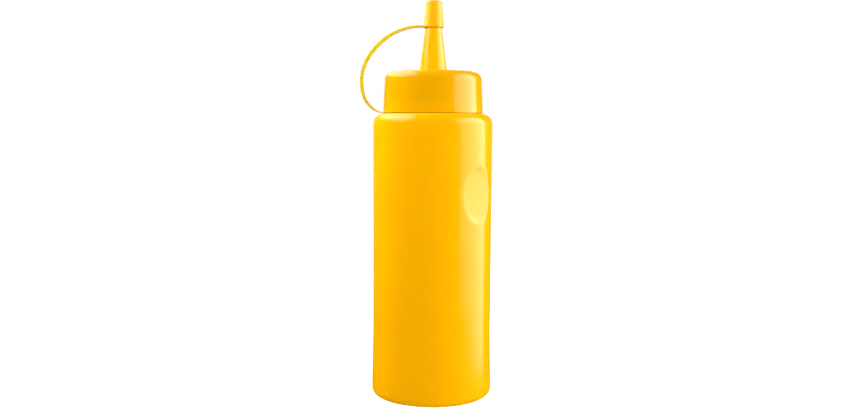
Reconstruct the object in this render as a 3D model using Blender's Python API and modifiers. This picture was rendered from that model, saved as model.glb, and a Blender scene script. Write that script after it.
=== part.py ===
"""Condiment squeeze bottle: blow-moulded body, screw cap with a conical nozzle, and a tip cap on a strap.

Units are metres, +Z is up, and the origin is the centre of the base. The strap lies on the -X side.
"""

import math

import bmesh
import bpy
from mathutils import Vector

MM = 0.001
GAP = 0.3 * MM  # air left between pieces that touch
ROUND_STEPS = 80  # sides of the large turned pieces
SMALL_STEPS = 40  # sides of the tip cap
ARC_STEPS = 6  # segments in a rounded edge
MERGE_DISTANCE = 0.01 * MM

# Bottle body
BODY_RADIUS = 30.0 * MM
SHOULDER_HEIGHT = 142.4 * MM
SHOULDER_ROUND = 5.2 * MM
BASE_RADIUS = 30.7 * MM
BASE_ROUND = 4.2 * MM
FLARE_HEIGHT = 34.0 * MM  # the wall spreads below this level
FLARE_STEPS = 5
WALL_STEPS = 14  # rows of the straight wall, close enough to keep the cut facets short
NECK_RADIUS = 22.5 * MM
NECK_TOP = 160.8 * MM
NECK_ROUND = 1.0 * MM

# Thumb recesses, one on each side of the body: level across, hollow from top to bottom
RECESS_ANGLE = math.radians(48.5)  # from the front (-Y) towards +X
RECESS_HEIGHT = 102.8 * MM
RECESS_DEPTH = 1.85 * MM
RECESS_HALF_LENGTH = 14.2 * MM
RECESS_RADIUS = (RECESS_HALF_LENGTH**2 + RECESS_DEPTH**2) / (2 * RECESS_DEPTH)
RECESS_STEPS = 120  # sides of the cylinder that hollows it

# Neck ring of the strap, held between the shoulder and the screw cap
RING_THICKNESS = 0.5 * MM
RING_OUTER = 24.9 * MM
RING_INNER = NECK_RADIUS + GAP
RING_BOTTOM = SHOULDER_HEIGHT + GAP
RING_TOP = RING_BOTTOM + RING_THICKNESS
RING_MIDDLE = (RING_BOTTOM + RING_TOP) / 2

# Screw cap and its nozzle
CAP_BOTTOM = RING_TOP + GAP
CAP_TOP = 163.7 * MM
CAP_BOTTOM_RADIUS = 25.1 * MM
CAP_TOP_RADIUS = 24.4 * MM
CAP_ROUND = 4.0 * MM
CAP_RIM_ROUND = 0.4 * MM
CAP_BORE = NECK_RADIUS + GAP
CAP_CEILING = NECK_TOP + GAP
NOZZLE_BASE_RADIUS = 6.9 * MM
NOZZLE_TAPER = 0.130  # loss of radius for each unit of height
NOZZLE_TIP = 197.2 * MM
NOZZLE_FOOT_ROUND = 0.6 * MM

# Tip cap
TIP_RIM = 185.3 * MM
TIP_TOP = 199.2 * MM
TIP_RIM_RADIUS = 5.25 * MM
TIP_TOP_RADIUS = 4.0 * MM
TIP_ROUND = 1.0 * MM

# Strap: a flat band in the XZ plane, from the tip cap's rim to the neck ring
STRAP_WIDTH = 3.0 * MM
STRAP_THICKNESS = 1.4 * MM
STRAP_END_THICKNESS = 0.8 * RING_THICKNESS
STRAP_TAPER_FROM = 0.80  # share of the strap's run where it starts to thin towards the ring
STRAP_SAMPLES = 44
STRAP_ROUTE = [
    (-4.6 * MM, 186.3 * MM),
    (-10.5 * MM, 186.05 * MM),
    (-17.0 * MM, 184.1 * MM),
    (-23.2 * MM, 180.9 * MM),
    (-29.0 * MM, 175.8 * MM),
    (-33.4 * MM, 169.6 * MM),
    (-35.8 * MM, 162.8 * MM),
    (-36.05 * MM, 156.6 * MM),
    (-34.6 * MM, 150.4 * MM),
    (-31.3 * MM, 146.1 * MM),
    (-27.8 * MM, 143.75 * MM),
    (-24.2 * MM, RING_MIDDLE),
]

PLASTIC_YELLOW = (0.95, 0.43, 0.003, 1.0)


def clear_scene():
    for obj in list(bpy.data.objects):
        bpy.data.objects.remove(obj)


def new_collection(name):
    collection = bpy.data.collections.new(name)
    bpy.context.scene.collection.children.link(collection)
    return collection


def plastic(name, roughness):
    material = bpy.data.materials.new(name)
    material.use_nodes = True
    shader = material.node_tree.nodes["Principled BSDF"]
    shader.inputs["Base Color"].default_value = PLASTIC_YELLOW
    shader.inputs["Roughness"].default_value = roughness
    shader.inputs["Metallic"].default_value = 0.0
    material.diffuse_color = PLASTIC_YELLOW
    return material


def add_object(name, mesh, collection, material=None):
    obj = bpy.data.objects.new(name, mesh)
    collection.objects.link(obj)
    if material is not None:
        mesh.materials.append(material)
    return obj


def mark_as_helper(obj):
    obj.hide_render = True
    obj.display_type = "WIRE"


def arc(centre, radius, start_deg, end_deg, steps=ARC_STEPS):
    """Points (radius, height) of a rounded edge, from one angle to another; 90 degrees points up."""
    points = []
    for i in range(steps + 1):
        angle = math.radians(start_deg + (end_deg - start_deg) * i / steps)
        points.append((centre[0] + radius * math.cos(angle), centre[1] + radius * math.sin(angle)))
    return points


def ease(share):
    """A smooth rise from 0 to 1."""
    share = min(1.0, max(0.0, share))
    return share * share * (3 - 2 * share)


def turned(name, profile, steps, collection, material=None, closed_loop=False):
    """A turned piece: a profile of (radius, height) that runs down its outer side, swept about Z."""
    mesh = bpy.data.meshes.new(name)
    vertices = [(radius, 0.0, height) for radius, height in profile]
    edges = [(i, i + 1) for i in range(len(profile) - 1)]
    if closed_loop:
        edges.append((len(profile) - 1, 0))
    mesh.from_pydata(vertices, edges, [])
    obj = add_object(name, mesh, collection, material)
    screw = obj.modifiers.new("Turn", "SCREW")
    screw.axis = "Z"
    screw.angle = math.tau
    screw.steps = steps
    screw.render_steps = steps
    screw.use_merge_vertices = True
    screw.merge_threshold = MERGE_DISTANCE
    screw.use_smooth_shade = True
    return obj


def boolean(obj, other, operation):
    modifier = obj.modifiers.new(f"{operation.title()} {other.name}", "BOOLEAN")
    modifier.operation = operation
    modifier.solver = "EXACT"
    modifier.object = other


def body_profile():
    """The body's outline: neck, shoulder, straight wall, spreading foot and flat base."""
    profile = [(0.0, NECK_TOP)]
    neck_corner = (NECK_RADIUS - NECK_ROUND, NECK_TOP - NECK_ROUND)
    profile += arc(neck_corner, NECK_ROUND, 90, 0, steps=2)
    profile.append((NECK_RADIUS, SHOULDER_HEIGHT))
    shoulder_corner = (BODY_RADIUS - SHOULDER_ROUND, SHOULDER_HEIGHT - SHOULDER_ROUND)
    profile += arc(shoulder_corner, SHOULDER_ROUND, 90, 0)
    for i in range(1, WALL_STEPS):
        share = i / WALL_STEPS
        profile.append((BODY_RADIUS, shoulder_corner[1] + (FLARE_HEIGHT - shoulder_corner[1]) * share))
    for i in range(FLARE_STEPS + 1):
        share = i / FLARE_STEPS
        height = FLARE_HEIGHT + (BASE_ROUND - FLARE_HEIGHT) * share
        profile.append((BODY_RADIUS + (BASE_RADIUS - BODY_RADIUS) * ease(share), height))
    foot_corner = (BASE_RADIUS - BASE_ROUND, BASE_ROUND)
    profile += arc(foot_corner, BASE_ROUND, 0, -90)[1:]
    profile.append((0.0, 0.0))
    return profile


def recess_cutter(name, angle, collection):
    """A cylinder lying level across the outside of the body, at an angle from the front."""
    mesh = bpy.data.meshes.new(name)
    shape = bmesh.new()
    bmesh.ops.create_cone(
        shape,
        cap_ends=True,
        segments=RECESS_STEPS,
        radius1=RECESS_RADIUS,
        radius2=RECESS_RADIUS,
        depth=2 * BODY_RADIUS,
    )
    shape.to_mesh(mesh)
    shape.free()
    cutter = add_object(name, mesh, collection)
    distance = BODY_RADIUS - RECESS_DEPTH + RECESS_RADIUS
    cutter.location = (distance * math.sin(angle), -distance * math.cos(angle), RECESS_HEIGHT)
    cutter.rotation_euler = (math.pi / 2, 0.0, angle + math.pi / 2)
    mark_as_helper(cutter)
    return cutter


def make_body(collection, helpers):
    body = turned("bottle_body", body_profile(), ROUND_STEPS, collection, plastic("Body plastic", 0.3))
    for name, angle in (("front", RECESS_ANGLE), ("back", RECESS_ANGLE + math.pi)):
        boolean(body, recess_cutter(f"recess_{name}", angle, helpers), "DIFFERENCE")
    return body


def nozzle_radius(height):
    return NOZZLE_BASE_RADIUS - NOZZLE_TAPER * (height - CAP_TOP)


def cap_profile():
    """The screw cap's outline: nozzle, rounded top, leaning skirt, and the bore that takes the neck."""
    profile = [(0.0, NOZZLE_TIP), (nozzle_radius(NOZZLE_TIP), NOZZLE_TIP)]
    foot = (nozzle_radius(CAP_TOP) + NOZZLE_FOOT_ROUND, CAP_TOP + NOZZLE_FOOT_ROUND)
    profile += arc(foot, NOZZLE_FOOT_ROUND, 180, 270, steps=2)
    top_corner = (CAP_TOP_RADIUS - CAP_ROUND, CAP_TOP - CAP_ROUND)
    profile += arc(top_corner, CAP_ROUND, 90, 0)
    rim_corner = (CAP_BOTTOM_RADIUS - CAP_RIM_ROUND, CAP_BOTTOM + CAP_RIM_ROUND)
    profile += arc(rim_corner, CAP_RIM_ROUND, 0, -90, steps=2)
    profile += [(CAP_BORE, CAP_BOTTOM), (CAP_BORE, CAP_CEILING), (0.0, CAP_CEILING)]
    return profile


def make_screw_cap(collection):
    return turned("screw_cap", cap_profile(), ROUND_STEPS, collection, plastic("Cap plastic", 0.28))


def tip_cap_profile():
    """The tip cap's outline: a leaning wall with a rounded top, open below around the nozzle."""
    top_corner = (TIP_TOP_RADIUS - TIP_ROUND, TIP_TOP - TIP_ROUND)
    profile = [(0.0, TIP_TOP)]
    profile += arc(top_corner, TIP_ROUND, 90, 0, steps=4)
    profile.append((TIP_RIM_RADIUS, TIP_RIM))
    profile.append((nozzle_radius(TIP_RIM) + GAP, TIP_RIM))
    ceiling = NOZZLE_TIP + GAP
    profile.append((nozzle_radius(ceiling) + GAP, ceiling))
    profile.append((0.0, ceiling))
    return profile


def ring_profile():
    """The neck ring's section, as a closed loop."""
    return [
        (RING_INNER, RING_TOP),
        (RING_OUTER, RING_TOP),
        (RING_OUTER, RING_BOTTOM),
        (RING_INNER, RING_BOTTOM),
    ]


def route_point(share):
    """A point on the smooth curve through STRAP_ROUTE, from 0 at the tip cap to 1 at the ring."""
    spans = len(STRAP_ROUTE) - 1
    span = min(spans - 1, int(share * spans))
    t = share * spans - span
    before, start, end, after = (
        Vector(STRAP_ROUTE[min(spans, max(0, span + step))]) for step in (-1, 0, 1, 2)
    )
    slope_in, slope_out = (end - before) / 2, (after - start) / 2
    return (
        start * (2 * t**3 - 3 * t**2 + 1)
        + slope_in * (t**3 - 2 * t**2 + t)
        + end * (3 * t**2 - 2 * t**3)
        + slope_out * (t**3 - t**2)
    )


def strap_thickness(share):
    thinning = ease((share - STRAP_TAPER_FROM) / (1 - STRAP_TAPER_FROM))
    return STRAP_THICKNESS + (STRAP_END_THICKNESS - STRAP_THICKNESS) * thinning


def strap_outline():
    """Both edges of the strap, seen from the front, as one loop."""
    outer, inner = [], []
    for i in range(STRAP_SAMPLES + 1):
        share = i / STRAP_SAMPLES
        step = 0.5 / STRAP_SAMPLES
        along = route_point(min(1.0, share + step)) - route_point(max(0.0, share - step))
        across = Vector((-along.y, along.x)).normalized() * strap_thickness(share) / 2
        outer.append(route_point(share) - across)
        inner.append(route_point(share) + across)
    return outer + inner[::-1]


def make_strap(collection):
    """The strap as a flat outline with thickness, made a mesh so that it can be joined."""
    curve = bpy.data.curves.new("strap_outline", "CURVE")
    curve.dimensions = "2D"
    curve.fill_mode = "BOTH"
    curve.extrude = STRAP_WIDTH / 2
    spline = curve.splines.new("POLY")
    points = strap_outline()
    spline.points.add(len(points) - 1)
    for point, place in zip(spline.points, points):
        point.co = (place.x, place.y, 0.0, 1.0)
    spline.use_cyclic_u = True
    guide = bpy.data.objects.new("strap_outline", curve)
    collection.objects.link(guide)
    guide.rotation_euler = (math.pi / 2, 0.0, 0.0)
    bpy.context.view_layer.update()
    graph = bpy.context.evaluated_depsgraph_get()
    mesh = bpy.data.meshes.new_from_object(guide.evaluated_get(graph))
    shape = bmesh.new()
    shape.from_mesh(mesh)
    bmesh.ops.remove_doubles(shape, verts=shape.verts, dist=MERGE_DISTANCE)
    bmesh.ops.recalc_face_normals(shape, faces=shape.faces)
    shape.to_mesh(mesh)
    shape.free()
    strap = add_object("strap", mesh, collection)
    strap.matrix_world = guide.matrix_world
    bpy.data.objects.remove(guide)
    mark_as_helper(strap)
    return strap


def make_tethered_tip_cap(collection, helpers):
    """Tip cap, strap and neck ring: one moulded piece."""
    tip = turned("tethered_tip_cap", tip_cap_profile(), SMALL_STEPS, collection, plastic("Tip cap plastic", 0.3))
    ring = turned("neck_ring", ring_profile(), ROUND_STEPS, helpers, closed_loop=True)
    mark_as_helper(ring)
    boolean(tip, make_strap(helpers), "UNION")
    boolean(tip, ring, "UNION")
    return tip


def main():
    clear_scene()
    parts = new_collection("squeeze_bottle")
    helpers = new_collection("cutters_and_guides")
    make_body(parts, helpers)
    make_screw_cap(parts)
    make_tethered_tip_cap(parts, helpers)


main()
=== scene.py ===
"""The looks of a condiment squeeze bottle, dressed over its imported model.

Lengths are metres, +Z is up, and the strap lies on the -X side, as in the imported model. Angles around the
bottle are counted from the front (-Y) towards +X.
"""

import sys

import logging
import math
from collections.abc import Sequence
from dataclasses import dataclass
from enum import Enum

import bmesh
import bpy
from mathutils import Matrix, Vector


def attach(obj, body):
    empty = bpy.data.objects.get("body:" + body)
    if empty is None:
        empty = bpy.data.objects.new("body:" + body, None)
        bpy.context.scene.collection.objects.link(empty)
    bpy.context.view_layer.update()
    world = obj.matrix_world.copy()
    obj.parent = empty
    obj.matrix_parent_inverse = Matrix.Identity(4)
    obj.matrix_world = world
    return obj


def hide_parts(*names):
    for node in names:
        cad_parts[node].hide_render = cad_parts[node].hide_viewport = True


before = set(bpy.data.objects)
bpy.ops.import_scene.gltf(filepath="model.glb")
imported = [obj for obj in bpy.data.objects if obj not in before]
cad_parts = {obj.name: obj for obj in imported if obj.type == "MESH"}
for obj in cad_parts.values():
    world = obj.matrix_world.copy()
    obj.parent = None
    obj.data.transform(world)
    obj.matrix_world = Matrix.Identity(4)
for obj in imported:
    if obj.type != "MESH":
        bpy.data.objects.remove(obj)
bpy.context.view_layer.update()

LOG = logging.getLogger("squeeze_bottle")
BODY_NAME = "root"

MM = 0.001
MERGE_DISTANCE = 0.0005 * MM
LARGE_STEPS = 384  # sides of the body and the screw cap
SMALL_STEPS = 96  # sides of the tip cap
NOISE_LOW, NOISE_HIGH = 0.3, 0.7  # nearly all of a noise lies between these two
RING_STEPS = 192
WEDGES = 16  # a turned shape is spun through one wedge, which is then doubled until it closes
CREASE_ANGLE = math.radians(40)
VERTICAL = Vector((0.0, 0.0, 1.0))

Colour = tuple[float, float, float]
Stop = tuple[float, float]
EVEN: tuple[Stop, ...] = ((0.0, 1.0), (1.0, 1.0))


def heading(angle: float) -> Vector:
    """Give the level direction at an angle from the front towards +X."""
    return Vector((math.sin(angle), -math.cos(angle), 0.0))


def ease(share: float) -> float:
    """Rise smoothly from 0 to 1 as share does."""
    share = min(1.0, max(0.0, share))
    return share * share * (3.0 - 2.0 * share)


def sum_of_ends(edge: bmesh.types.BMEdge) -> Vector:
    """Add the places of an edge's two ends."""
    return edge.verts[0].co + edge.verts[1].co


def soft_least(first: float, second: float, reach: float) -> float:
    """Take the smaller of two lengths, rounding the change from one to the other.

    Args:
        first: One length.
        second: The other length.
        reach: The difference below which the two are blended.

    Returns:
        The smaller length, or slightly less where the two are close.
    """
    share = min(1.0, max(0.0, 0.5 + 0.5 * (second - first) / reach))
    return second + (first - second) * share - reach * share * (1.0 - share)


class Graph:
    """A node tree that is filled one node at a time."""

    def __init__(self, tree: bpy.types.NodeTree) -> None:
        """Keep the tree and empty it.

        Args:
            tree: The node tree of a material, a world or a light.
        """
        self.tree = tree
        tree.nodes.clear()

    def add(
        self, kind: str, inputs: dict[str | int, object] | None = None, **settings: object
    ) -> bpy.types.Node:
        """Add a node to the tree.

        Args:
            kind: The node's type, without its ShaderNode prefix.
            inputs: For each input, by name or place, its value or the socket that feeds it.
            **settings: The node's own properties.

        Returns:
            The new node.
        """
        node = self.tree.nodes.new("ShaderNode" + kind)
        for name, value in settings.items():
            setattr(node, name, value)
        for key, value in (inputs or {}).items():
            if isinstance(value, bpy.types.NodeSocket):
                self.tree.links.new(value, node.inputs[key])
            else:
                node.inputs[key].default_value = value
        return node

    def maths(self, operation: str, first: object, second: object = 0.0) -> bpy.types.NodeSocket:
        """Add a Math node and give its result.

        Args:
            operation: The node's operation.
            first: Its first value or socket.
            second: Its second value or socket.

        Returns:
            The socket that holds the result.
        """
        return self.add("Math", {0: first, 1: second}, operation=operation).outputs[0]

    def step(
        self, value: object, low: float, high: float, start: float = 0.0, end: float = 1.0
    ) -> bpy.types.NodeSocket:
        """Add a smooth change from one level to another.

        Args:
            value: The socket that drives the change.
            low: Where the change starts.
            high: Where it ends.
            start: The level below low.
            end: The level above high.

        Returns:
            The socket that holds the level.
        """
        inputs = {"Value": value, "From Min": low, "From Max": high, "To Min": start, "To Max": end}
        return self.add("MapRange", inputs, interpolation_type="SMOOTHSTEP").outputs["Result"]

    def mix(self, share: object, first: object, second: object) -> bpy.types.NodeSocket:
        """Mix two colours.

        Args:
            share: The share of the second colour.
            first: The first colour or socket.
            second: The second colour or socket.

        Returns:
            The socket that holds the mixed colour.
        """
        return self.add("Mix", {0: share, 6: first, 7: second}, data_type="RGBA").outputs[2]

    def ramp(self, value: object, stops: Sequence[Stop]) -> bpy.types.NodeSocket:
        """Add a grey ramp through some stops.

        Args:
            value: The socket that is looked up, from 0 to 1.
            stops: Each stop's place and level.

        Returns:
            The socket that holds the level.
        """
        node = self.add("ValToRGB", {0: value})
        elements = node.color_ramp.elements
        while len(elements) < len(stops):
            elements.new(0.5)
        for element, (place, _) in zip(elements, stops):
            element.position = place
        for element, (_, level) in zip(elements, stops):
            element.color = (level, level, level, 1.0)
        return node.outputs["Color"]


class Grain(Enum):
    """How a plastic surface was formed: a stretch for each axis of its texture."""

    BLOWN = (1.0, 1.0, 0.12)
    MOULDED = (1.0, 1.0, 1.0)


@dataclass(frozen=True)
class PaintedGlow:
    """A painted glow: a change to a paler colour that paints in light, where light shines through a slender
    part or bounces onto the piece.

    Attributes:
        axis: The axis along which the painted light grows.
        start: The place on that axis where the change starts.
        end: The place where it is complete.
        colour: The colour of the painted light.
    """

    axis: str
    start: float
    end: float
    colour: Colour


@dataclass(frozen=True)
class Polythene:
    """Polythene coloured through, slightly translucent, with a satin gloss.

    Attributes:
        name: The material's name.
        grain: How the surface was formed.
        colour: Its colour.
        clouding: How much of the green its denser clouds take away.
        roughness: Its middle roughness.
        roughness_range: How far the roughness strays from the middle.
        glow: The share of light that spreads under the surface.
        glow_depth: How far that light spreads.
        cloud_size: The size of the clouds in the colour.
        smear_size: The size of the patches in its gloss.
        grain_size: The size of the finest texture.
        grain_height: The height of the finest texture.
        wave_size: The size of the slow waves that the mould leaves.
        wave_height: The height of those waves.
        ior: Its refractive index.
        spread: How far red, green and blue light spread, as shares of glow_depth.
        sheen: How much its edges light up, where the light grazes the pale skin.
        sheen_roughness: How far that light reaches in from the edges.
        sheen_tint: Its colour.
        painted_glows: Where a paler colour paints in light that shines through slender parts or bounces
            onto the piece.
    """

    name: str
    grain: Grain
    colour: Colour = (0.95, 0.447, 0.0006)
    clouding: float = 0.03
    roughness: float = 0.145
    roughness_range: float = 0.02
    glow: float = 0.2
    glow_depth: float = 1.2 * MM
    cloud_size: float = 14 * MM
    smear_size: float = 1.4 * MM
    grain_size: float = 0.35 * MM
    grain_height: float = 0.0012 * MM
    wave_size: float = 7 * MM
    wave_height: float = 0.006 * MM
    ior: float = 1.5
    spread: Colour = (1.0, 0.45, 0.1)
    sheen: float = 0.22
    sheen_roughness: float = 0.3
    sheen_tint: Colour = (1.0, 0.8, 0.05)
    painted_glows: tuple[PaintedGlow, ...] = ()

    def tint(self, graph: Graph, place: bpy.types.NodeSocket) -> bpy.types.NodeSocket:
        """Add the plastic's colour, with its clouds and its painted glows of paler colour that stand in for
        light.

        Args:
            graph: The material's nodes.
            place: The socket with the place on the piece.

        Returns:
            The socket with the colour.
        """
        clouds = graph.step(self.noise(graph, place, self.cloud_size, 2.0), NOISE_LOW, NOISE_HIGH)
        red, green, blue = self.colour
        colour = graph.mix(clouds, (*self.colour, 1.0), (red, green * (1.0 - self.clouding), blue, 1.0))
        # Painted light: each glow pales the colour where light shines through the plastic or bounces onto
        # it.
        for painted_glow in self.painted_glows:
            along = graph.add("SeparateXYZ", {0: place}).outputs[painted_glow.axis]
            glow_share = graph.step(along, painted_glow.start, painted_glow.end)
            colour = graph.mix(glow_share, colour, (*painted_glow.colour, 1.0))
        return colour

    def noise(
        self, graph: Graph, place: bpy.types.NodeSocket, size: float, detail: float
    ) -> bpy.types.NodeSocket:
        """Add a noise whose features have a given size.

        Args:
            graph: The material's nodes.
            place: The socket with the place on the piece.
            size: The size of the features.
            detail: How many finer layers the noise has.

        Returns:
            The socket with the noise, around one half.
        """
        inputs = {"Vector": place, "Scale": 1.0 / size, "Detail": detail, "Roughness": 0.5}
        return graph.add("TexNoise", inputs).outputs["Fac"]

    def material(self) -> bpy.types.Material:
        """Build the finish.

        Returns:
            The material, with clouds in its colour, an uneven gloss, slow waves and a fine grain.
        """
        material = bpy.data.materials.new(self.name)
        material.use_nodes = True
        graph = Graph(material.node_tree)
        place = graph.add("TexCoord").outputs["Object"]
        drawn = graph.add("Mapping", {"Vector": place, "Scale": self.grain.value}).outputs["Vector"]
        low, high = self.roughness - self.roughness_range, self.roughness + self.roughness_range
        smears = self.noise(graph, drawn, self.smear_size, 3.0)
        gloss = graph.step(smears, NOISE_LOW, NOISE_HIGH, low, high)
        waves = graph.add(
            "Bump",
            {
                "Height": self.noise(graph, drawn, self.wave_size, 1.0),
                "Distance": self.wave_height,
                "Strength": 1.0,
            },
        )
        grain = graph.add(
            "Bump",
            {
                "Height": self.noise(graph, drawn, self.grain_size, 2.0),
                "Distance": self.grain_height,
                "Strength": 1.0,
                "Normal": waves.outputs["Normal"],
            },
        )
        shader = graph.add(
            "BsdfPrincipled",
            {
                "Base Color": self.tint(graph, place),
                "Roughness": gloss,
                "IOR": self.ior,
                "Subsurface Weight": self.glow,
                "Subsurface Radius": self.spread,
                "Subsurface Scale": self.glow_depth,
                "Sheen Weight": self.sheen,
                "Sheen Roughness": self.sheen_roughness,
                "Sheen Tint": (*self.sheen_tint, 1.0),
                "Normal": grain.outputs["Normal"],
            },
        )
        graph.add("OutputMaterial", {"Surface": shader.outputs["BSDF"]})
        return material


@dataclass(frozen=True)
class Corner:
    """A corner of a turned outline.

    Attributes:
        radius: Its distance from the axis.
        height: Its height.
        rounding: The radius that rounds it, or 0.
        segments: The number of segments in the rounding.
        rows: The number of rows from here to the next corner, where neither of the two is rounded.
    """

    radius: float
    height: float
    rounding: float = 0.0
    segments: int = 6
    rows: int = 1

    @property
    def place(self) -> Vector:
        """The corner's place in the XZ plane."""
        return Vector((self.radius, 0.0, self.height))


@dataclass(frozen=True)
class Turning:
    """An outline that is turned about the Z axis.

    Attributes:
        corners: The outline's corners in order.
        steps: The number of sides.
        closed: Whether the last corner joins the first.
    """

    corners: tuple[Corner, ...]
    steps: int
    closed: bool = False

    def outline(self) -> bmesh.types.BMesh:
        """Draw the outline with its rounded corners.

        Returns:
            A mesh of edges in the XZ plane.
        """
        shape = bmesh.new()
        points = [shape.verts.new(corner.place) for corner in self.corners]
        followers = points[1:] + points[:1] if self.closed else points[1:]
        for pair in zip(points, followers):
            shape.edges.new(pair)
        for corner, follower in zip(self.corners, self.corners[1:]):
            if corner.rows > 1:
                middle = (corner.place + follower.place) / 2
                run = min(shape.edges, key=lambda edge: (sum_of_ends(edge) - 2 * middle).length)
                bmesh.ops.subdivide_edges(shape, edges=[run], cuts=corner.rows - 1)
        for index, corner in enumerate(self.corners):
            if corner.rounding:
                before = self.corners[index - 1].place
                after = self.corners[(index + 1) % len(self.corners)].place
                turn = (corner.place - before).angle(after - corner.place)
                bmesh.ops.bevel(
                    shape,
                    geom=[min(shape.verts, key=lambda vertex: (vertex.co - corner.place).length)],
                    offset=corner.rounding * math.tan(turn / 2),
                    offset_type="OFFSET",
                    affect="VERTICES",
                    segments=corner.segments,
                    profile=0.5,
                    material=-1,
                )
        return shape

    def turned(self) -> bmesh.types.BMesh:
        """Turn the outline into a closed shape.

        Returns:
            The shape, with its doubles merged and its faces outwards.
        """
        shape = self.outline()
        turned = math.tau / WEDGES
        bmesh.ops.spin(
            shape,
            geom=shape.verts[:] + shape.edges[:],
            cent=(0.0, 0.0, 0.0),
            axis=VERTICAL,
            angle=turned,
            steps=self.steps // WEDGES,
        )
        while turned < math.tau - CREASE_ANGLE:
            whole = shape.verts[:] + shape.edges[:] + shape.faces[:]
            wedge = bmesh.ops.duplicate(shape, geom=whole)["geom"]
            verts = [item for item in wedge if isinstance(item, bmesh.types.BMVert)]
            turn = Matrix.Rotation(turned, 3, "Z")
            bmesh.ops.rotate(shape, cent=(0.0, 0.0, 0.0), matrix=turn, verts=verts)
            turned *= 2
        bmesh.ops.remove_doubles(shape, verts=shape.verts, dist=MERGE_DISTANCE)
        bmesh.ops.recalc_face_normals(shape, faces=shape.faces)
        return shape


def piece_from(name: str, shape: bmesh.types.BMesh, finish: Polythene | None = None) -> bpy.types.Object:
    """Make an object of a shape, and free the shape.

    Args:
        name: The object's name.
        shape: The mesh to take over.
        finish: The finish that it gets, if any.

    Returns:
        The object, smooth between its creases.
    """
    mesh = bpy.data.meshes.new(name)
    shape.to_mesh(mesh)
    shape.free()
    smoothed(mesh)
    piece = bpy.data.objects.new(name, mesh)
    bpy.context.scene.collection.objects.link(piece)
    if finish is not None:
        mesh.materials.append(finish.material())
    return piece


def smoothed(mesh: bpy.types.Mesh) -> None:
    """Shade a mesh smooth between its creases."""
    mesh.polygons.foreach_set("use_smooth", [True] * len(mesh.polygons))
    mesh.set_sharp_from_angle(angle=CREASE_ANGLE)


def dressed(piece: bpy.types.Object, node: str) -> bpy.types.Object:
    """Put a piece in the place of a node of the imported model.

    Args:
        piece: The finished piece.
        node: The node that it stands for.

    Returns:
        The same piece.
    """
    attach(piece, BODY_NAME)
    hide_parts(node)
    return piece


@dataclass(frozen=True)
class Recess:
    """A thumb recess: an oval pressed into the wall, level across and slightly hollow from top to bottom.

    Attributes:
        angle: Where its middle faces.
        height: The height of its middle.
        half_height: Half of its height.
        depth: How deep its middle lies under the wall.
        floor_radius: The radius of the hollow in its floor.
        edge_share: The part of the oval's size in which its end walls rise.
        edge_softness: How gently its floor runs out into the wall.
    """

    angle: float
    height: float = 103.3 * MM
    half_height: float = 13.6 * MM
    depth: float = 1.7 * MM
    floor_radius: float = 80 * MM
    edge_share: float = 0.36
    edge_softness: float = 0.8 * MM

    def press(self, shape: bmesh.types.BMesh, wall_radius: float) -> None:
        """Press the recess into a turned wall.

        Args:
            shape: The body's mesh.
            wall_radius: The radius of the wall.
        """
        outward, across = heading(self.angle), heading(self.angle + math.pi / 2)
        half_width = math.sqrt(self.depth * (2 * wall_radius - self.depth))
        reach = 1.0 + self.edge_share / 2
        for vertex in shape.verts:
            rise = vertex.co.z - self.height
            out = vertex.co.dot(outward)
            oval = math.hypot(vertex.co.dot(across) / half_width, rise / self.half_height)
            if out < 0.0 or oval > reach:
                continue
            floor = wall_radius - self.depth + rise**2 / (2 * self.floor_radius)
            inside = ease((reach - oval) / self.edge_share)
            vertex.co += outward * (soft_least(out, floor, self.edge_softness) - out) * inside


@dataclass(frozen=True)
class PinchOff:
    """The ridge that the closing mould leaves across the underside.

    Attributes:
        angle: The direction of the ridge.
        half_length: Half of its length.
        half_width: Half of its width.
        end_run: The length over which each end sinks away.
        height: How far it stands out.
        reach: The height under which the mesh belongs to the underside.
    """

    angle: float
    half_length: float = 17 * MM
    half_width: float = 0.55 * MM
    end_run: float = 1.65 * MM
    height: float = 0.55 * MM
    reach: float = 3 * MM

    def raise_on(self, shape: bmesh.types.BMesh) -> None:
        """Raise the ridge on the underside of the body.

        Args:
            shape: The body's mesh.
        """
        along, across = heading(self.angle), heading(self.angle + math.pi / 2)
        for vertex in shape.verts:
            if vertex.co.z < self.reach:
                aside = 1.0 - abs(vertex.co.dot(across)) / self.half_width
                end = (self.half_length - abs(vertex.co.dot(along))) / self.end_run
                vertex.co.z -= self.height * ease(aside) * ease(end)


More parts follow.
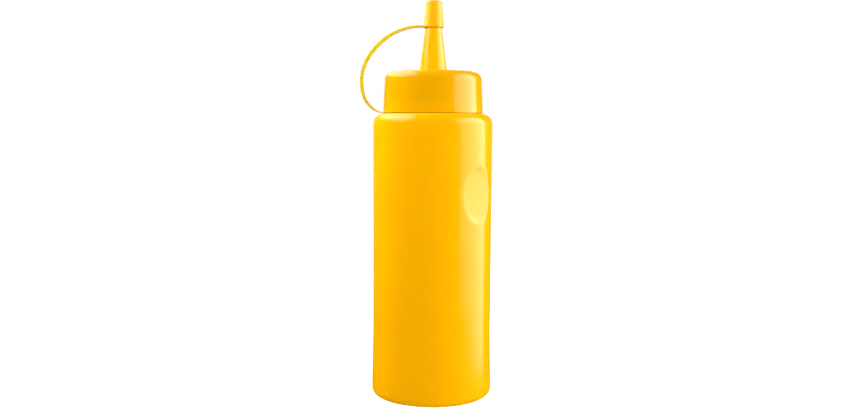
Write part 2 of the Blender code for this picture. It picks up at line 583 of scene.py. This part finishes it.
@dataclass(frozen=True)
class BottleBody:
    """The blown body: neck, shoulder, wall with two thumb recesses, spreading foot and hollow base."""

    radius: float = 30.0 * MM
    shoulder_height: float = 142.92 * MM
    shoulder_round: float = 5.2 * MM
    shoulder_margin: float = 0.8 * MM  # between its rounding and the first row of the wall
    neck_radius: float = 22.5 * MM
    neck_top: float = 160.8 * MM
    neck_round: float = 1.0 * MM
    neck_foot_round: float = 0.4 * MM
    base_radius: float = 30.45 * MM
    base_round: float = 3.5 * MM
    flare_height: float = 34.0 * MM
    flare_foot: float = 4.2 * MM
    fine_top: float = 121.0 * MM  # the wall has fine rows between these two heights
    fine_bottom: float = 84.5 * MM
    standing_radius: float = 24.6 * MM
    hollow_radius: float = 22.8 * MM
    hollow_height: float = 1.3 * MM
    hollow_round: float = 0.8 * MM  # of both edges of the hollow
    crown_margin: float = 1.5 * MM
    crown_height: float = 1.8 * MM
    recesses: tuple[Recess, ...] = (Recess(math.radians(48.5)), Recess(math.radians(228.5)))
    pinch_off: PinchOff = PinchOff(math.radians(138.5))
    finish: Polythene = Polythene("body_polythene", Grain.BLOWN)

    def turning(self) -> Turning:
        """Draw the body's outline.

        Returns:
            The outline, from the top of its neck to the middle of its base.
        """
        wall_top = self.shoulder_height - self.shoulder_round - self.shoulder_margin
        corners = (
            Corner(0.0, self.neck_top),
            Corner(self.neck_radius, self.neck_top, self.neck_round, 5),
            Corner(self.neck_radius, self.shoulder_height, self.neck_foot_round, 4),
            Corner(self.radius, self.shoulder_height, self.shoulder_round, 24),
            Corner(self.radius, wall_top, rows=12),
            Corner(self.radius, self.fine_top, rows=88),
            Corner(self.radius, self.fine_bottom, rows=14),
            Corner(self.radius, self.flare_height, rows=16),
            Corner(self.base_radius, self.flare_foot),
            Corner(self.base_radius, 0.0, self.base_round, 16),
            Corner(self.standing_radius, 0.0, self.hollow_round, 5),
            Corner(self.hollow_radius, self.hollow_height, self.hollow_round, 5),
            Corner(self.hollow_radius - self.crown_margin, self.hollow_height, rows=24),
            Corner(0.0, self.crown_height),
        )
        return Turning(corners, LARGE_STEPS)

    def spread_foot(self, shape: bmesh.types.BMesh) -> None:
        """Ease the foot's straight slope into a curve that leaves the wall smoothly.

        Args:
            shape: The body's mesh.
        """
        run = self.flare_height - self.flare_foot
        for vertex in shape.verts:
            share = (self.flare_height - vertex.co.z) / run
            if 0.0 < share < 1.0 and vertex.co.xy.length > self.radius:
                target = self.radius + (self.base_radius - self.radius) * ease(share)
                vertex.co.xy *= target / vertex.co.xy.length

    def build(self) -> bpy.types.Object:
        """Build and dress the body.

        Returns:
            The finished piece.
        """
        shape = self.turning().turned()
        self.spread_foot(shape)
        for recess in self.recesses:
            recess.press(shape, self.radius)
        self.pinch_off.raise_on(shape)
        return dressed(piece_from("BottleBody", shape, self.finish), "bottle_body")


@dataclass(frozen=True)
class Nozzle:
    """The conical nozzle on the screw cap."""

    foot_radius: float = 6.9 * MM
    foot_height: float = 163.7 * MM
    taper: float = 0.130  # loss of radius for each unit of height
    tip_height: float = 197.2 * MM
    foot_round: float = 0.6 * MM
    foot_margin: float = 1.6 * MM
    tip_round: float = 0.3 * MM
    tip_margin: float = 1.0 * MM

    def radius(self, height: float) -> float:
        """Give the nozzle's radius at a height."""
        return self.foot_radius - self.taper * (height - self.foot_height)


@dataclass(frozen=True)
class ScrewCap:
    """The screw cap: leaning skirt, rounded top, nozzle, and the bore that takes the neck."""

    bottom: float = 143.18 * MM
    bottom_radius: float = 25.1 * MM
    rim_round: float = 0.1 * MM
    top: float = 163.7 * MM
    top_radius: float = 24.2 * MM
    top_round: float = 4.2 * MM
    top_margin: float = 0.8 * MM  # between its rounding and the rows on either side
    rim_margin: float = 0.9 * MM
    nozzle_margin: float = 2.0 * MM
    bore_radius: float = 22.8 * MM
    bore_round: float = 0.2 * MM
    ceiling: float = 161.1 * MM
    nozzle: Nozzle = Nozzle()
    finish: Polythene = Polythene(
        "cap_polythene",
        Grain.MOULDED,
        colour=(0.8, 0.382, 0.0006),
        roughness=0.13,
        painted_glows=(
            # Painted light: the nozzle turns paler where light shines through its slim wall.
            PaintedGlow("Z", 162.5 * MM, 166 * MM, (0.92, 0.465, 0.002)),
            # Painted light: the skirt turns paler towards its rim, where light bounces up from the
            # shoulder.
            PaintedGlow("Z", 152 * MM, 143 * MM, (0.88, 0.42, 0.0006)),
        ),
    )

    def turning(self) -> Turning:
        """Draw the cap's outline.

        Returns:
            The outline, from the tip of its nozzle to the ceiling of its bore.
        """
        nozzle = self.nozzle
        shaft = (nozzle.tip_height - nozzle.tip_margin, nozzle.foot_height + nozzle.foot_margin)
        lean = (self.bottom_radius - self.top_radius) / (self.top - self.bottom)
        skirt = (self.top - self.top_round - self.top_margin, self.bottom + self.rim_margin)
        corners = (
            Corner(0.0, nozzle.tip_height),
            Corner(nozzle.radius(nozzle.tip_height), nozzle.tip_height, nozzle.tip_round, 4),
            Corner(nozzle.radius(shaft[0]), shaft[0], rows=16),
            Corner(nozzle.radius(shaft[1]), shaft[1]),
            Corner(nozzle.foot_radius, self.top, nozzle.foot_round, 6),
            Corner(nozzle.foot_radius + self.nozzle_margin, self.top, rows=6),
            Corner(self.top_radius - self.top_round - self.top_margin, self.top),
            Corner(self.top_radius, self.top, self.top_round, 20),
            Corner(self.top_radius + lean * (self.top - skirt[0]), skirt[0], rows=14),
            Corner(self.top_radius + lean * (self.top - skirt[1]), skirt[1]),
            Corner(self.bottom_radius, self.bottom, self.rim_round, 5),
            Corner(self.bore_radius, self.bottom, self.bore_round, 3),
            Corner(self.bore_radius, self.ceiling),
            Corner(0.0, self.ceiling),
        )
        return Turning(corners, LARGE_STEPS)

    def build(self) -> bpy.types.Object:
        """Build and dress the cap."""
        piece = piece_from("ScrewCap", self.turning().turned(), self.finish)
        return dressed(piece, "screw_cap")


@dataclass(frozen=True)
class Strap:
    """The flat strap that bows out from the tip cap's rim and comes back to the ring on the neck.

    Attributes:
        width: Its width, along Y.
        edge_round: The rounding of its long edges, as a share of its thickness.
        root_swell: How much wider it is at its roots.
        root_share: The part of its run over which a root swells.
        stations: The number of sections along it.
        route: The X and Z of the points that its middle runs through, from the tip cap to the ring, each
            with its thickness there.
    """

    width: float = 3.0 * MM
    edge_round: float = 0.3
    root_swell: float = 0.12
    root_share: float = 0.05
    stations: int = 150
    route: tuple[tuple[float, float, float], ...] = (
        (-4.6 * MM, 186.25 * MM, 0.95 * MM),
        (-10.5 * MM, 186.05 * MM, 1.25 * MM),
        (-17.0 * MM, 184.25 * MM, 1.5 * MM),
        (-23.1 * MM, 181.05 * MM, 1.85 * MM),
        (-28.9 * MM, 175.85 * MM, 2.1 * MM),
        (-33.35 * MM, 169.6 * MM, 1.95 * MM),
        (-35.65 * MM, 162.8 * MM, 1.7 * MM),
        (-35.87 * MM, 156.6 * MM, 1.7 * MM),
        (-34.55 * MM, 150.4 * MM, 1.6 * MM),
        (-31.3 * MM, 146.1 * MM, 1.35 * MM),
        (-27.8 * MM, 143.85 * MM, 0.8 * MM),
        (-23.9 * MM, 143.05 * MM, 0.19 * MM),
    )

    def point(self, share: float) -> Vector:
        """Find a point on the smooth curve through the route.

        Args:
            share: How far along the route it is, from 0 to 1.

        Returns:
            The point.
        """
        spans = len(self.route) - 1
        span = min(spans - 1, int(share * spans))
        t = share * spans - span
        picks = (self.route[min(spans, max(0, span + step))] for step in (-1, 0, 1, 2))
        before, start, end, after = (Vector((x, 0.0, z)) for x, z, _ in picks)
        leave, arrive = (end - before) / 2, (after - start) / 2
        return (
            start * (2 * t**3 - 3 * t**2 + 1)
            + leave * (t**3 - 2 * t**2 + t)
            + end * (3 * t**2 - 2 * t**3)
            + arrive * (t**3 - t**2)
        )

    def thickness(self, share: float) -> float:
        """Find the strap's thickness at a place on the route.

        Args:
            share: How far along the route it is, from 0 to 1.

        Returns:
            The thickness.
        """
        spans = len(self.route) - 1
        span = min(spans - 1, int(share * spans))
        start, end = self.route[span][2], self.route[span + 1][2]
        return start + (end - start) * (share * spans - span)

    def section(self, share: float) -> Matrix:
        """Place the strap's section on the route.

        Args:
            share: How far along the route it is, from 0 to 1.

        Returns:
            The matrix that takes a section of unit thickness in the XY plane to its place: X across the
            strap's width, Y through its thickness and Z along the route.
        """
        step = 0.5 / self.stations
        along = (self.point(min(1.0, share + step)) - self.point(max(0.0, share - step))).normalized()
        through = along.cross(Vector((0.0, 1.0, 0.0)))
        frame_axes = Matrix((Vector((0.0, 1.0, 0.0)), through, along)).transposed()
        root = 1.0 + self.root_swell * ease(1.0 - share / self.root_share)
        ring_root = 1.0 + self.root_swell * ease(1.0 - (1.0 - share) / self.root_share)
        size = Matrix.Diagonal((root * ring_root * self.width, self.thickness(share), 1.0, 1.0))
        return Matrix.Translation(self.point(share)) @ frame_axes.to_4x4() @ size

    def swept(self) -> bmesh.types.BMesh:
        """Draw the strap's rounded section and carry it along the route.

        Returns:
            The strap as a closed shape.
        """
        shape = bmesh.new()
        ratio = self.width / max(thickness for *_, thickness in self.route)
        bmesh.ops.create_grid(shape, x_segments=1, y_segments=1, size=0.5)
        bmesh.ops.scale(shape, vec=(ratio, 1.0, 1.0), verts=shape.verts)
        bmesh.ops.bevel(
            shape,
            geom=shape.verts[:],
            offset=self.edge_round,
            offset_type="OFFSET",
            affect="VERTICES",
            segments=5,
            profile=0.5,
            material=-1,
        )
        bmesh.ops.scale(shape, vec=(1.0 / ratio, 1.0, 1.0), verts=shape.verts)
        place = self.section(0.0)
        bmesh.ops.transform(shape, matrix=place, verts=shape.verts)
        front = shape.faces[:]
        for station in range(1, self.stations + 1):
            grown = bmesh.ops.extrude_face_region(shape, geom=front)["geom"]
            if station > 1:  # only the first section stays, to close the start
                bmesh.ops.delete(shape, geom=front, context="FACES_ONLY")
            front = [item for item in grown if isinstance(item, bmesh.types.BMFace)]
            verts = [item for item in grown if isinstance(item, bmesh.types.BMVert)]
            following = self.section(station / self.stations)
            bmesh.ops.transform(shape, matrix=following @ place.inverted(), verts=verts)
            place = following
        bmesh.ops.recalc_face_normals(shape, faces=shape.faces)
        return shape


@dataclass(frozen=True)
class TetheredTipCap:
    """The tip cap with its strap and the ring that holds it on the neck, moulded as one."""

    rim: float = 185.6 * MM
    rim_radius: float = 5.25 * MM
    rim_round: float = 0.5 * MM
    rim_margin: float = 1.0 * MM
    top: float = 198.98 * MM
    top_radius: float = 4.0 * MM
    top_round: float = 1.0 * MM
    top_margin: float = 0.5 * MM
    nozzle_air: float = 0.12 * MM
    mouth_round: float = 0.15 * MM
    ceiling: float = 197.4 * MM
    ring_inner: float = 22.8 * MM
    ring_outer: float = 24.4 * MM
    ring_bottom: float = 142.95 * MM
    ring_top: float = 143.15 * MM
    ring_round: float = 0.06 * MM
    nozzle: Nozzle = Nozzle()
    strap: Strap = Strap()
    finish: Polythene = Polythene(
        "tip_cap_polythene",
        Grain.MOULDED,
        colour=(0.9, 0.43, 0.003),
        roughness=0.3,
        glow=0.1,
        glow_depth=0.5 * MM,
        sheen=0.15,
        # Painted light: the strap turns a paler lemon where light shines through it.
        painted_glows=(PaintedGlow("X", -5.2 * MM, -8 * MM, (0.74, 0.55, 0.02)),),
    )

    def shell(self) -> Turning:
        """Draw the tip cap's outline.

        Returns:
            The outline, open below around the nozzle.
        """
        lean = (self.rim_radius - self.top_radius) / (self.top - self.rim)
        wall = (self.top - self.top_round - self.top_margin, self.rim + self.rim_margin)
        corners = (
            Corner(0.0, self.top),
            Corner(self.top_radius, self.top, self.top_round, 12),
            Corner(self.top_radius + lean * (self.top - wall[0]), wall[0], rows=12),
            Corner(self.top_radius + lean * (self.top - wall[1]), wall[1]),
            Corner(self.rim_radius, self.rim, self.rim_round, 6),
            Corner(self.nozzle.radius(self.rim) + self.nozzle_air, self.rim, self.mouth_round, 3),
            Corner(self.nozzle.radius(self.ceiling) + self.nozzle_air, self.ceiling),
            Corner(0.0, self.ceiling),
        )
        return Turning(corners, SMALL_STEPS)

    def ring(self) -> Turning:
        """Draw the section of the ring on the neck.

        Returns:
            The section as a closed outline.
        """
        corners = (
            Corner(self.ring_inner, self.ring_top, self.ring_round, 3),
            Corner(self.ring_outer, self.ring_top, self.ring_round, 3),
            Corner(self.ring_outer, self.ring_bottom, self.ring_round, 3),
            Corner(self.ring_inner, self.ring_bottom, self.ring_round, 3),
        )
        return Turning(corners, RING_STEPS, closed=True)

    def build(self) -> bpy.types.Object:
        """Build the tip cap, join its strap and ring to it, and dress it.

        Returns:
            The finished piece.
        """
        piece = piece_from("TetheredTipCap", self.shell().turned(), self.finish)
        band = piece_from("strap_band", self.strap.swept())
        ring = piece_from("strap_ring", self.ring().turned())
        for other in (band, ring):
            modifier = piece.modifiers.new(f"Join {other.name}", "BOOLEAN")
            modifier.operation = "UNION"
            modifier.solver = "EXACT"
            modifier.object = other
        bpy.context.view_layer.update()
        evaluated = piece.evaluated_get(bpy.context.evaluated_depsgraph_get())
        joined = bpy.data.meshes.new_from_object(evaluated)
        piece.modifiers.clear()
        piece.data = joined
        for other in (band, ring):
            bpy.data.objects.remove(other)
        smoothed(joined)
        return dressed(piece, "tethered_tip_cap")


@dataclass(frozen=True)
class Softbox:
    """A soft studio light: a lit panel whose brightness may change across and up it.

    Attributes:
        name: The light's name.
        centre: Its place.
        facing: The direction that it shines in.
        width: Its width.
        height: Its height.
        radiance: Its brightness where both ramps are 1.
        across: The brightness across its width.
        upward: The brightness from its lower to its upper edge.
        slant: How far the upward ramp moves up from the right side of the panel to the left.
        stretch: How far the across ramp reaches out to the left in the upper part of the panel.
        stretch_from: The heights between which that reach sets in, from 0 to 1.
        mirrored: Whether the gloss shows it. A light that only fills does not.
        sought: How much oftener than its brightness calls for the renderer seeks it out, against grain.
    """

    name: str
    centre: tuple[float, float, float]
    facing: tuple[float, float, float]
    width: float
    height: float
    radiance: float
    across: tuple[Stop, ...] = EVEN
    upward: tuple[Stop, ...] = EVEN
    slant: float = 0.0
    stretch: float = 0.0
    stretch_from: tuple[float, float] = (0.33, 0.39)
    mirrored: bool = True
    sought: float = 1.0

    def place(self) -> bpy.types.Object:
        """Put the light in the scene.

        Returns:
            The light's object.
        """
        light = bpy.data.lights.new(self.name, "AREA")
        light.shape = "RECTANGLE"
        light.size, light.size_y = self.width, self.height
        light.energy = 4.0 * self.width * self.height * self.radiance * self.sought
        light.cycles.use_multiple_importance_sampling = self.mirrored
        self.shade(light)
        lamp = bpy.data.objects.new(self.name, light)
        bpy.context.scene.collection.objects.link(lamp)
        lamp.location = self.centre
        lamp.rotation_euler = Vector(self.facing).to_track_quat("-Z", "Y").to_euler()
        lamp.visible_camera = False
        lamp.visible_glossy = self.mirrored
        return lamp

    def shade(self, light: bpy.types.Light) -> None:
        """Give the panel its changes of brightness.

        Args:
            light: The light to shade.
        """
        light.use_nodes = True
        graph = Graph(light.node_tree)
        panel = graph.add("SeparateXYZ", {0: graph.add("NewGeometry").outputs["Parametric"]})
        right, up = panel.outputs["X"], panel.outputs["Y"]
        lean = graph.maths("MULTIPLY", graph.maths("SUBTRACT", right, 1.0), self.slant)
        upward = graph.ramp(graph.maths("ADD", up, lean), self.upward)
        stretched = graph.step(up, *self.stretch_from, 0.0, self.stretch)
        reach = graph.maths("MULTIPLY", graph.maths("SUBTRACT", 1.0, right), stretched)
        across = graph.ramp(graph.maths("ADD", right, reach), self.across)
        level = graph.maths("MULTIPLY", across, upward)
        glow = graph.add("Emission", {"Strength": graph.maths("DIVIDE", level, self.sought)})
        graph.add("OutputLight", {"Surface": glow.outputs["Emission"]})


def fill(
    name: str,
    centre: tuple[float, float, float],
    facing: tuple[float, float, float],
    width: float,
    height: float,
    radiance: float,
    sought: float,
) -> Softbox:
    """Describe an even light that lights the bottle without showing in its gloss.

    Args:
        name: The light's name.
        centre: Its place.
        facing: The direction that it shines in.
        width: Its width.
        height: Its height.
        radiance: Its brightness.
        sought: How much oftener than its brightness calls for the renderer seeks it out.

    Returns:
        The light.
    """
    return Softbox(name, centre, facing, width, height, radiance, mirrored=False, sought=sought)


@dataclass(frozen=True)
class Studio:
    """The camera, the lights, the pale room and the floor.

    Attributes:
        camera_place: Where the camera stands.
        camera_pitch: How far it looks down.
        camera_roll: How far it is turned about its own line of sight.
        camera_near: The distance within which it sees nothing.
        sensor_width: The width of its sensor, in millimetres.
        focal_pixels: Its focal length, in pixels of the picture.
        picture_width: The width of the picture, in pixels.
        floor_size: The side of the square floor.
        floor_drop: How far the floor lies under the bottle, so that the two don't touch.
        floor_patch: The number of patches of tone in each metre of floor.
        floor_contrast: The range of the noise that the tones take up.
        floor_tone: The darkest and the palest tone of the floor.
        wall_glow: The brightness of the wall behind the bottle.
        wall_edge: How squarely a direction points at the wall, at the wall's edge and in its full light.
        wall_foot: The slopes of the directions between which the wall's lower edge fades in.
        wall_head: The slopes of the directions between which its upper edge fades out.
        softboxes: The lights.
    """

    camera_place: tuple[float, float, float] = (-2.72 * MM, -470.98 * MM, 135.28 * MM)
    camera_pitch: float = math.radians(4.68)
    camera_roll: float = math.radians(0.38)
    camera_near: float = 10 * MM
    sensor_width: float = 36.0
    focal_pixels: float = 929.96
    picture_width: float = 854.0
    floor_size: float = 6.0
    floor_drop: float = 0.1 * MM
    floor_patch: float = 40.0
    floor_contrast: tuple[float, float] = (0.2, 0.8)
    floor_tone: tuple[float, float] = (0.86, 0.9)
    wall_glow: float = 0.7
    wall_edge: tuple[float, float] = (0.9, 0.97)
    wall_foot: tuple[float, float] = (-0.4, -0.2)
    wall_head: tuple[float, float] = (0.5, 0.7)
    softboxes: tuple[Softbox, ...] = (
        Softbox(
            "softbox_right",
            centre=(0.6, -0.115, 0.34),
            facing=(-1.0, 0.0, 0.0),
            width=0.95,
            height=1.12,
            radiance=4.2,
            across=(
                (0.0, 0.0),
                (0.15, 0.0),
                (0.181, 0.43),
                (0.329, 0.5),
                (0.383, 0.6),
                (0.436, 0.66),
                (0.544, 0.7),
                (0.647, 0.867),
                (0.776, 1.0),
                (0.905, 0.95),
                (0.968, 0.0),
            ),
            upward=(
                (0.0, 0.0),
                (0.06, 0.0),
                (0.072, 0.32),
                (0.098, 0.37),
                (0.138, 0.44),
                (0.182, 0.485),
                (0.27, 0.58),
                (0.36, 0.81),
                (0.449, 0.952),
                (0.583, 0.95),
                (0.672, 0.72),
                (0.85, 0.62),
                (0.935, 0.0),
            ),
            slant=0.09,
            sought=0.35,
            stretch=0.1,
        ),
        Softbox(
            "softbox_left",
            centre=(-0.127, 0.0415, 0.306),
            facing=(0.782, -0.254, -0.569),
            width=0.5,
            height=0.2,
            radiance=3.2,
            across=(
                (0.0, 0.0),
                (0.08, 0.5),
                (0.3, 0.65),
                (0.5, 1.0),
                (0.65, 0.92),
                (0.86, 0.5),
                (1.0, 0.0),
            ),
            upward=((0.0, 0.0), (0.06, 0.95), (0.8, 0.95), (1.0, 0.0)),
            sought=0.6,
        ),
        fill("fill_front", (0.0, -0.9, 0.5), (0.0, 1.0, -0.4), 1.4, 0.6, 2.32, 4.0),
        fill("fill_right", (0.88, -0.92, 0.0), (-0.88, 0.92, 0.05), 0.9, 0.9, 1.25, 2.0),
        fill("fill_left", (-0.55, 0.16, 0.36), (0.55, -0.16, -0.2), 0.6, 0.6, 3.75, 0.3),
        fill("fill_rear", (0.93, 0.7, 0.42), (-0.93, -0.7, -0.3), 1.0, 0.9, 2.6, 0.4),
        fill("fill_rear_left", (-0.75, 0.9, 0.4), (0.75, -0.9, -0.3), 0.9, 0.9, 1.8, 0.4),
        fill("fill_below", (0.0, 0.0, -0.9), (0.0, 0.0, 1.0), 2.4, 2.4, 0.95, 0.4),
    )

    def set_camera(self) -> None:
        """Place the camera and make it the scene's."""
        data = bpy.data.cameras.new("camera")
        data.sensor_fit = "HORIZONTAL"
        data.sensor_width = self.sensor_width
        data.lens = self.sensor_width * self.focal_pixels / self.picture_width
        data.clip_start = self.camera_near
        camera = bpy.data.objects.new("camera", data)
        bpy.context.scene.collection.objects.link(camera)
        tilt = Matrix.Rotation(math.pi / 2 - self.camera_pitch, 4, "X")
        roll = Matrix.Rotation(self.camera_roll, 4, "Z")
        camera.matrix_world = Matrix.Translation(self.camera_place) @ tilt @ roll
        bpy.context.scene.camera = camera

    def light_room(self) -> None:
        """Put a bright wall behind the bottle, in a room that is white to the camera."""
        world = bpy.data.worlds.new("room")
        bpy.context.scene.world = world
        world.use_nodes = True
        world.cycles.sampling_method = "NONE"
        graph = Graph(world.node_tree)
        direction = graph.add("SeparateXYZ", {0: graph.add("TexCoord").outputs["Generated"]})
        back, up = direction.outputs["Y"], direction.outputs["Z"]
        span = graph.step(back, *self.wall_edge, 0.0, self.wall_glow)
        standing = graph.maths("MULTIPLY", span, graph.step(up, *self.wall_foot))
        wall = graph.maths("MULTIPLY", standing, graph.step(up, *self.wall_head, 1.0, 0.0))
        direct = graph.add("LightPath").outputs["Is Camera Ray"]
        level = graph.maths("MAXIMUM", wall, direct)
        glow = graph.add("Background", {"Color": (1.0, 1.0, 1.0, 1.0), "Strength": level})
        graph.add("OutputWorld", {"Surface": glow.outputs["Background"]})

    def lay_floor(self) -> None:
        """Lay the pale floor, which only the camera sees."""
        shape = bmesh.new()
        bmesh.ops.create_grid(shape, x_segments=8, y_segments=8, size=self.floor_size / 2)
        bmesh.ops.translate(shape, vec=(0.0, 0.0, -self.floor_drop), verts=shape.verts)
        floor = piece_from("floor", shape)
        floor.visible_glossy = floor.visible_diffuse = floor.visible_shadow = False
        material = bpy.data.materials.new("pale_floor")
        material.use_nodes = True
        graph = Graph(material.node_tree)
        place = graph.add("TexCoord").outputs["Object"]
        patches = graph.add("TexNoise", {"Vector": place, "Scale": self.floor_patch}).outputs["Fac"]
        tone = graph.step(patches, *self.floor_contrast, *self.floor_tone)
        pale = graph.add("CombineColor", {0: tone, 1: tone, 2: tone}).outputs[0]
        shader = graph.add(
            "BsdfPrincipled",
            {
                "Base Color": pale,
                "Roughness": 0.9,
                "Specular IOR Level": 0.0,
                "Emission Color": (1.0, 1.0, 1.0, 1.0),
                "Emission Strength": 1.0,
            },
        )
        graph.add("OutputMaterial", {"Surface": shader.outputs["BSDF"]})
        floor.data.materials.append(material)

    def build(self) -> None:
        """Set the camera, the room, the lights and the floor."""
        bpy.context.scene.view_settings.view_transform = "Standard"
        self.set_camera()
        self.light_room()
        self.lay_floor()
        for softbox in self.softboxes:
            softbox.place()


def main() -> None:
    """Build the studio and the bottle's three pieces."""
    logging.basicConfig(level=logging.INFO, format="%(name)s: %(message)s", stream=sys.stdout)
    Studio().build()
    for part in (BottleBody(), ScrewCap(), TetheredTipCap()):
        piece = part.build()
        LOG.info("%s has %d faces", piece.name, len(piece.data.polygons))


if __name__ == "__main__":
    main()
